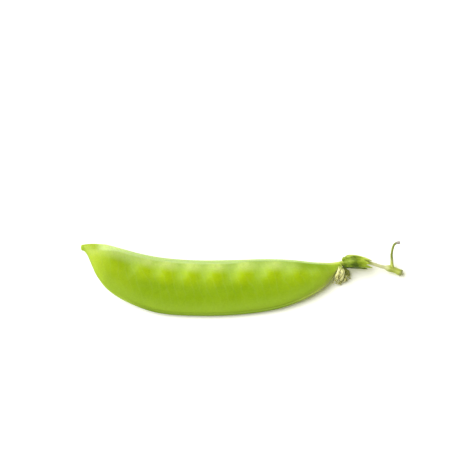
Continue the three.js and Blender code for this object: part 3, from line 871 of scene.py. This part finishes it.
def new_group(name, inputs, outputs):
    """An empty node group with float inputs {name: default} and float outputs, and its two end nodes."""
    group = bpy.data.node_groups.new(name, "ShaderNodeTree")
    for key, default in inputs.items():
        socket = group.interface.new_socket(key, in_out="INPUT", socket_type="NodeSocketFloat")
        socket.default_value = default
    for key in outputs:
        group.interface.new_socket(key, in_out="OUTPUT", socket_type="NodeSocketFloat")
    recipe = Recipe(group)
    return group, recipe, recipe.add("NodeGroupInput").outputs, recipe.add("NodeGroupOutput")


def mottling_group():
    """Uneven growth of green tissue: broad patches, and a fine grain of cells."""
    sizes = {"Patch mm": 6.0, "Grain mm": 0.35}
    group, r, given, end = new_group("tissue_mottling", sizes, ["Patches", "Grain"])
    place = r.place()
    patches = r.noise(place, r.math("DIVIDE", 1.0, given["Patch mm"]), 3.0)
    grain = r.noise(place, r.math("DIVIDE", 1.0, given["Grain mm"]), 2.0, 0.6)
    r.feed(end, {"Patches": r.remap(patches, 0.3, 0.7), "Grain": grain})
    return group


def speck_group():
    """Small scattered scars: round dots at the centres of some cells of a cell pattern."""
    group, r, given, end = new_group("specks", {"Spacing mm": 2.4, "Size": 0.12, "Share": 0.3}, ["Mask"])
    scale = r.math("DIVIDE", 1.0, given["Spacing mm"])
    cells = r.add("ShaderNodeTexVoronoi", {"Vector": r.place(), "Scale": scale, "Randomness": 1.0})
    dot = r.math("LESS_THAN", cells.outputs["Distance"], given["Size"])
    pick = r.add("ShaderNodeSeparateColor", {"Color": cells.outputs["Color"]}).outputs["Red"]
    r.feed(end, {"Mask": r.times(dot, r.math("LESS_THAN", pick, given["Share"]))})
    return group


MOTTLING = mottling_group()
SPECKS = speck_group()


def new_material(name):
    """An empty material: its recipe, and the Principled BSDF that the recipe feeds."""
    material = bpy.data.materials.new(name)
    material.use_nodes = True
    material.node_tree.nodes.clear()
    recipe = Recipe(material.node_tree)
    skin = recipe.add("ShaderNodeBsdfPrincipled")
    output = recipe.add("ShaderNodeOutputMaterial", {"Surface": skin.outputs["BSDF"]})
    output.target = "ALL"
    return material, recipe, skin


def dress(r, skin, colour, roughness, normal, specular, glow):
    """Feeds a material's Principled BSDF. glow is the share of the light that wanders under the surface, how
    far it goes in metres, and the shares of that distance for red, green and blue."""
    weight, distance, spread = glow
    r.feed(skin, {"Base Color": colour, "Roughness": roughness, "Normal": normal})
    r.feed(skin, {"Specular IOR Level": specular, "Subsurface Weight": weight})
    r.feed(skin, {"Subsurface Scale": distance, "Subsurface Radius": spread})


# ---- Materials ----

POD_DEEP = srgb(130, 163, 0)
POD_LIGHT = srgb(152, 179, 14)
POD_UNDER_EDGE = srgb(150, 180, 52)
POD_OVER_SEED = srgb(168, 195, 0)
# POD_BLOOM_SHEEN: the whitish waxy coat, with painted highlight on the tops of the swellings.
POD_BLOOM_SHEEN = srgb(194, 214, 114)
POD_BETWEEN_SEEDS = srgb(137, 166, 70)
POD_SUTURE = srgb(190, 213, 138)
# POD_RIM_SHADE: painted shade along the rounded suture, where the wall curves under towards the floor;
# lighter towards neck and beak.
POD_RIM_SHADE = srgb(112, 136, 30)
POD_RIM_AT_NECK = srgb(166, 178, 84)
POD_BEAK = srgb(198, 218, 44)
POD_BEAK_SEAM = srgb(214, 236, 154)
POD_HALO = srgb(208, 230, 132)
POD_BEAK_TIP = srgb(168, 190, 56)
POD_RIM_AT_BEAK = srgb(160, 184, 60)
# POD_NECK_TONE_AND_LIGHT: the neck's own lighter green, made lighter still as painted light against the shade
# on its slopes facing away from the key light.
POD_NECK_TONE_AND_LIGHT = srgb(160, 184, 48)
POD_NECK_SEAM = srgb(196, 208, 104)
POD_NECK_DEEP = srgb(122, 152, 22)
POD_SCAR = srgb(150, 150, 62)

POD_GLOW = 0.25, 0.002, (0.7, 1.0, 0.15)


def pod_wall_colour(r, patches, inset, rim, along, yellow, bloom_sheen):
    """The wall between the sutures. inset and rim are the distances in mm from the seed-bearing suture and
    from the rounded one, and along runs from the beak at -53 to the neck at 34."""
    (tone,) = r.attributes("tone")
    tone = r.math("ADD", tone, r.remap(patches, 0, 1, -0.08, 0.08), clamp=True)
    colour = r.mix(tone, POD_DEEP, POD_LIGHT)
    near_rim = r.remap(rim, 6.0, 1.5)
    colour = r.mix(r.times(near_rim, 0.75), colour, POD_UNDER_EDGE)
    beakward = r.times(r.remap(along, -43.0, -51.0), r.remap(inset, 9.0, 3.0, 0.55, 1.0))
    colour = r.mix(r.times(beakward, 0.85), colour, POD_BEAK)
    between_seeds = r.times(r.remap(inset, 5.6, 2.6), r.remap(along, 24.0, 13.0, 0.1, 0.8))
    between_seeds = r.times(between_seeds, r.remap(along, -47.0, -38.0, 0.15, 1.0))
    colour = r.mix(between_seeds, colour, POD_BETWEEN_SEEDS)
    colour = r.mix(r.times(yellow, 0.95), colour, POD_OVER_SEED)
    wisps = r.noise(r.place((0.9, 0.4, 0.9)), 0.6, 4.0, 0.6)
    # Painted highlight: the whitish colour over the swellings stands partly for their sheen, partly for the
    # waxy coat.
    return r.mix(r.times(bloom_sheen, r.remap(wisps, 0.3, 0.6, 0.7, 1.0)), colour, POD_BLOOM_SHEEN)


def pod_ends_colour(r, colour, inset, along):
    """The two ends, over the wall: a lighter neck, partly its own colour and partly painted light against the
    shade of its far slopes, with deeper green before it, and pale skin along the suture of the beak, up to
    its green tip."""
    # Painted light, in part: the neck is lightened where the key light leaves its slopes in shade.
    neck_tone_and_light = r.remap(along, 21.0, 33.0)
    colour = r.mix(r.times(neck_tone_and_light, 0.85), colour, POD_NECK_TONE_AND_LIGHT)
    halo = r.times(r.remap(inset, 5.0, 1.4, 0.0, 0.5), r.remap(along, -26.0, -46.0))
    colour = r.mix(halo, colour, POD_HALO)
    at_tip = r.remap(along, -47.5, -51.0)
    colour = r.mix(r.times(at_tip, 0.85), colour, POD_BEAK_TIP)
    before_neck = r.times(r.remap(along, 15.0, 22.0), r.remap(along, 32.0, 26.0))
    return r.mix(r.times(before_neck, r.remap(inset, 5.0, 1.6, 0.0, 0.8)), colour, POD_NECK_DEEP)


def pod_suture_colours(r, colour, inset, rim, along):
    """The pale band of the seed-bearing suture, wider towards the beak, and the thin dark band opposite,
    painted shade along the rounded suture where the wall curves under.
    """
    seam = r.mix(r.remap(along, 24.0, 31.0), POD_SUTURE, POD_NECK_SEAM)
    seam = r.mix(r.remap(along, -36.0, -44.0), seam, POD_BEAK_SEAM)
    seam = r.mix(r.remap(along, -46.0, -49.5), seam, POD_BEAK_TIP)
    band_width = r.math("ADD", r.remap(along, -6.0, 4.0, 1.7, 1.1), r.remap(along, -41.0, -47.0, 0.0, 0.9))
    on_band = r.remap(r.math("SUBTRACT", band_width, inset), 0.0, 0.7)
    colour = r.mix(r.times(on_band, 0.85), colour, seam)
    # Painted shade: a dark rim along the rounded suture, lighter towards both ends.
    rim_painted_shade = r.mix(r.remap(along, -30.0, -42.0), POD_RIM_SHADE, POD_RIM_AT_BEAK)
    rim_painted_shade = r.mix(r.remap(along, 12.0, 27.0), rim_painted_shade, POD_RIM_AT_NECK)
    on_rim = r.remap(rim, 1.5, 0.35)
    return r.mix(r.times(on_rim, 0.8), colour, rim_painted_shade)


def pod_skin():
    """Waxy skin: yellow over the seeds, a whitish waxy coat with painted highlight above them and grey-green
    between them, pale along the seed-bearing suture, lemon towards the beak, a neck lightened partly with
    painted light, a thin rim of painted shade along the rounded suture, with fine raised veins and a few pale
    scars."""
    material, r, skin = new_material("pod_skin")
    yellow, bloom_sheen, vein, inset, rim, along = r.attributes("yellow", "bloom_sheen", "vein", "inset", "rim", "along")
    patches, grain = r.mottling(6.0, 0.35)
    colour = pod_wall_colour(r, patches, inset, rim, along, yellow, bloom_sheen)
    colour = pod_ends_colour(r, colour, inset, along)
    colour = pod_suture_colours(r, colour, inset, rim, along)
    colour = r.mix(r.times(vein, 0.06), colour, POD_SUTURE)
    fine = r.remap(grain, 0.3, 0.7, 0.92, 1.06)
    grey = r.add("ShaderNodeCombineColor", {0: fine, 1: fine, 2: fine}).outputs[0]
    colour = r.mix(1.0, colour, grey, "MULTIPLY")
    scars = r.specks(3.4, 0.07, 0.22)
    colour = r.mix(r.times(scars, 0.5), colour, POD_SCAR)
    roughness = r.math("ADD", r.remap(patches, 0, 1, 0.4, 0.5), r.times(bloom_sheen, 0.12))
    dress(r, skin, colour, roughness, r.bump(grain, 0.012), specular=0.22, glow=POD_GLOW)
    r.feed(skin, {"IOR": 1.4})
    return material


# SEPAL_SHADED to SEPAL_GREEN to SEPAL_LIT is painted light and shade, from sepals in shade to the one facing
# the key light; SEPAL_EDGE is the pale margin and vein colour, on the lit margin also painted highlight.
SEPAL_SHADED = srgb(66, 90, 0)
SEPAL_GREEN = srgb(128, 152, 22)
SEPAL_LIT = srgb(180, 203, 56)
SEPAL_EDGE = srgb(206, 218, 114)
SEPAL_DRIED = srgb(150, 148, 70)
SEPAL_GLOW = 0.15, 0.0008, (0.7, 1.0, 0.15)


def sepal_leaf():
    """Leafy green, painted from the lit upper sepal to the shaded ones underneath as painted light and shade,
    paler along the veins and margins, the lit margin partly painted highlight, with slightly dried tips."""
    material, r, skin = new_material("sepal_leaf")
    vein, pale, tip, light = r.attributes("vein", "pale", "tip", "light")
    patches, grain = r.mottling(1.5, 0.12)
    light = r.math("ADD", light, r.remap(patches, 0, 1, -0.13, 0.13), clamp=True)
    # Painted light and shade: the light value steps from shaded through green to lit; veins show more where
    # it is lit.
    colour = r.mix(r.remap(light, 0.0, 0.5), SEPAL_SHADED, SEPAL_GREEN)
    colour = r.mix(r.remap(light, 0.5, 1.0), colour, SEPAL_LIT)
    colour = r.mix(r.times(vein, r.remap(light, 0.0, 0.8, 0.06, 0.25)), colour, SEPAL_EDGE)
    colour = r.mix(pale, colour, SEPAL_EDGE)
    colour = r.mix(r.remap(tip, 0.94, 1.0, 0.0, 0.7), colour, SEPAL_DRIED)
    roughness = r.remap(grain, 0.2, 0.8, 0.5, 0.62)
    dress(r, skin, colour, roughness, r.bump(grain, 0.02), specular=0.22, glow=SEPAL_GLOW)
    return material


STEM_GREEN = srgb(160, 172, 58)
STEM_LIGHT = srgb(196, 206, 112)
STEM_PALE = srgb(216, 216, 174)
STEM_OLIVE = srgb(104, 117, 22)
STEM_CUT = srgb(170, 174, 134)
STEM_CUT_RIM = srgb(134, 140, 84)
SECOND_TIP = srgb(164, 156, 156)
STEM_GLOW = 0.15, 0.0008, (0.8, 1.0, 0.3)


def stem_skin():
    """Ribbed yellow-green skin, paler along the thin middle, olive on the second stalk, with a dried pale cut
    and a shrivelled greyish tip."""
    material, r, skin = new_material("stem_skin")
    rib, cut, second, along = r.attributes("rib", "cut", "second", "along")
    patches, grain = r.mottling(2.2, 0.12)
    light = r.math("ADD", r.times(rib, 0.5), r.times(patches, 0.4))
    colour = r.mix(light, STEM_GREEN, STEM_LIGHT)
    thin = r.times(r.remap(along, 0.18, 0.36), r.remap(along, 0.74, 0.58))
    colour = r.mix(r.times(thin, 0.85), colour, STEM_PALE)
    aged = r.mix(r.times(light, 0.4), STEM_OLIVE, STEM_LIGHT)
    colour = r.mix(r.times(second, r.remap(along, 0.1, 0.4)), colour, aged)
    dried = r.mix(r.remap(cut, 0.95, 1.2), STEM_CUT_RIM, STEM_CUT)
    colour = r.mix(r.remap(cut, 0.05, 0.5), colour, dried)
    withered = r.times(second, r.remap(along, 0.82, 0.93))
    colour = r.mix(withered, colour, SECOND_TIP)
    scars = r.specks(0.9, 0.14, 0.3)
    colour = r.mix(r.times(scars, 0.35), colour, STEM_CUT_RIM)
    roughness = r.remap(grain, 0.2, 0.8, 0.42, 0.58)
    dress(r, skin, colour, roughness, r.bump(grain, 0.02), specular=0.25, glow=STEM_GLOW)
    return material


PAPER_PALE = srgb(242, 240, 172)
# PAPER_SHADED: painted shade on tissue that stands in shade.
PAPER_SHADED = srgb(116, 124, 44)
PAPER_TAN = srgb(222, 222, 148)
PAPER_BROWN = srgb(156, 150, 84)
PAPER_GREENISH = srgb(152, 172, 60)
PAPER_GLOW = 0.45, 0.0008, (1.0, 1.0, 0.7)


def dry_paper():
    """Withered tissue: pale and papery, tan in its folds and towards its torn ends, brown on the anthers and
    greenish where it leaves the neck; dark olive as painted shade where a strip or thread is marked as lying
    in shade."""
    material, r, skin = new_material("dry_paper")
    along, pleat, anther, pale = r.attributes("along", "pleat", "anther", "pale")
    patches, grain = r.mottling(0.9, 0.08)
    colour = r.mix(r.remap(pleat, 0.7, 0.2, 0.0, 0.7), PAPER_PALE, PAPER_TAN)
    # Painted shade: dark olive where the pale value is low.
    colour = r.mix(r.remap(pale, 0.9, 0.1, 0.0, 0.9), colour, PAPER_SHADED)
    worn = r.times(r.remap(along, 0.5, 1.0), patches)
    colour = r.mix(r.times(worn, 0.5), colour, PAPER_BROWN)
    colour = r.mix(r.times(anther, 0.35), colour, PAPER_BROWN)
    colour = r.mix(r.remap(along, 0.25, 0.0, 0.0, 0.85), colour, PAPER_GREENISH)
    roughness = r.remap(grain, 0.2, 0.8, 0.75, 0.9)
    dress(r, skin, colour, roughness, r.bump(grain, 0.03), specular=0.2, glow=PAPER_GLOW)
    return material


# ---- Building the pieces ----

pod_shell().build("pod_dressed", pod_skin(), "pod", "pod_skin")
calyx_shell().build("calyx_dressed", sepal_leaf(), "calyx", "sepal")
stalk_shell().build("stalk_dressed", stem_skin(), "stalk", "stem")
stamens_shell().build("withered_stamens_dressed", dry_paper(), "withered_stamens", "dry_paper")

# ---- Studio ----

CAMERA_ELEVATION = math.radians(80)
CAMERA_DISTANCE = 0.424
CAMERA_AIM = Vector((-0.0058, 0.01865, 0.0))
LENS = 100.0
FLOOR_SIZE = 6.0
FLOOR_COLOUR = (0.96, 0.96, 0.96, 1.0)
KEY_FROM = (-0.55, 0.22, 0.74)
KEY_ANGLE = math.radians(58)  # how wide the light looks from the floor
KEY_STRENGTH = 4.62
KEY_COLOUR = (0.98, 0.98, 1.04)
SKY_STRENGTH = 0.42
SKY_COLOUR = (1.0, 1.0, 0.5, 1.0)

floor_material, floor_recipe, floor_skin = new_material("studio_floor")
floor_grain = floor_recipe.noise(floor_recipe.place(), 0.2, 3.0)
floor_roughness = floor_recipe.remap(floor_grain, 0.3, 0.7, 0.85, 0.95)
floor_recipe.feed(floor_skin, {"Base Color": FLOOR_COLOUR, "Specular IOR Level": 0.0})
floor_recipe.feed(floor_skin, {"Roughness": floor_roughness})

half = FLOOR_SIZE / 2
corners = [(-half, -half, 0), (half, -half, 0), (half, half, 0), (-half, half, 0)]
floor_mesh = bpy.data.meshes.new("studio_floor")
floor_mesh.from_pydata(corners, [], [(0, 1, 2, 3)])
floor_mesh.materials.append(floor_material)
floor = bpy.data.objects.new("studio_floor", floor_mesh)
bpy.context.scene.collection.objects.link(floor)
floor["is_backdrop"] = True

sky = bpy.data.worlds.new("studio_sky")
sky.use_nodes = True
sky.node_tree.nodes["Background"].inputs["Color"].default_value = SKY_COLOUR
sky.node_tree.nodes["Background"].inputs["Strength"].default_value = SKY_STRENGTH
bpy.context.scene.world = sky


def aim(thing, target):
    """Turns a light or camera to face the target."""
    back = thing.location - target
    thing.rotation_euler = back.to_track_quat("Z", "Y").to_euler()


key_light = bpy.data.lights.new("key_light", "SUN")
key_light.angle = KEY_ANGLE
key_light.energy = KEY_STRENGTH
key_light.color = KEY_COLOUR
key = bpy.data.objects.new("key_light", key_light)
key.location = KEY_FROM
bpy.context.scene.collection.objects.link(key)
aim(key, Vector((0, 0, 0)))

camera_data = bpy.data.cameras.new("camera")
camera_data.lens = LENS
camera_data.clip_start = 0.01
camera = bpy.data.objects.new("camera", camera_data)
away = Vector((0, -math.cos(CAMERA_ELEVATION), math.sin(CAMERA_ELEVATION)))
camera.location = CAMERA_AIM + away * CAMERA_DISTANCE
aim(camera, CAMERA_AIM)
bpy.context.scene.collection.objects.link(camera)
bpy.context.scene.camera = camera

bpy.context.scene.view_settings.view_transform = "Standard"
bpy.context.scene.view_settings.look = "None"

# ---- Sizes ----

sizes = {"cad": cad_box, "visual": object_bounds()}
{key: [list(corner) for corner in box] for key, box in sizes.items()}
